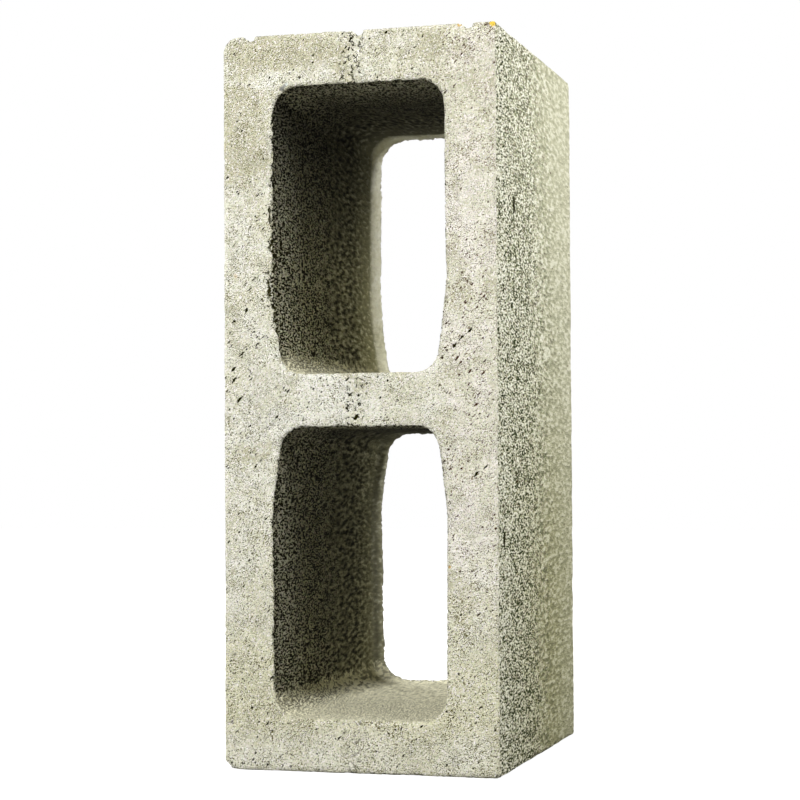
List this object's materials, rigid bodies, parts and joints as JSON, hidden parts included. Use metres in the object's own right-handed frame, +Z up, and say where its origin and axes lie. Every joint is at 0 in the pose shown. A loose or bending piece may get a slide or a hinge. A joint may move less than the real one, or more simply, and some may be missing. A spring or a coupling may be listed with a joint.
{
  "type": "hollow concrete block",
  "caption": "Grey hollow building block of pressed concrete, with tapered open cores between its face shells and webs, for laying in walls.",
  "frame": {"origin": "middle of the underside of the block, which stands on one of its ends", "axes": "+Z up along the block's length, +X through the thickness of the wall it builds, +Y along the cores from their wide mouths to the lipped pallet face"},
  "size_m": [0.15, 0.19, 0.39],
  "materials": {
    "concrete": "dry-cast concrete, open sandy grain with small pits, matt"
  },
  "bodies": {
    "root": {"concrete_block": "concrete"}
  },
  "joints": []
}
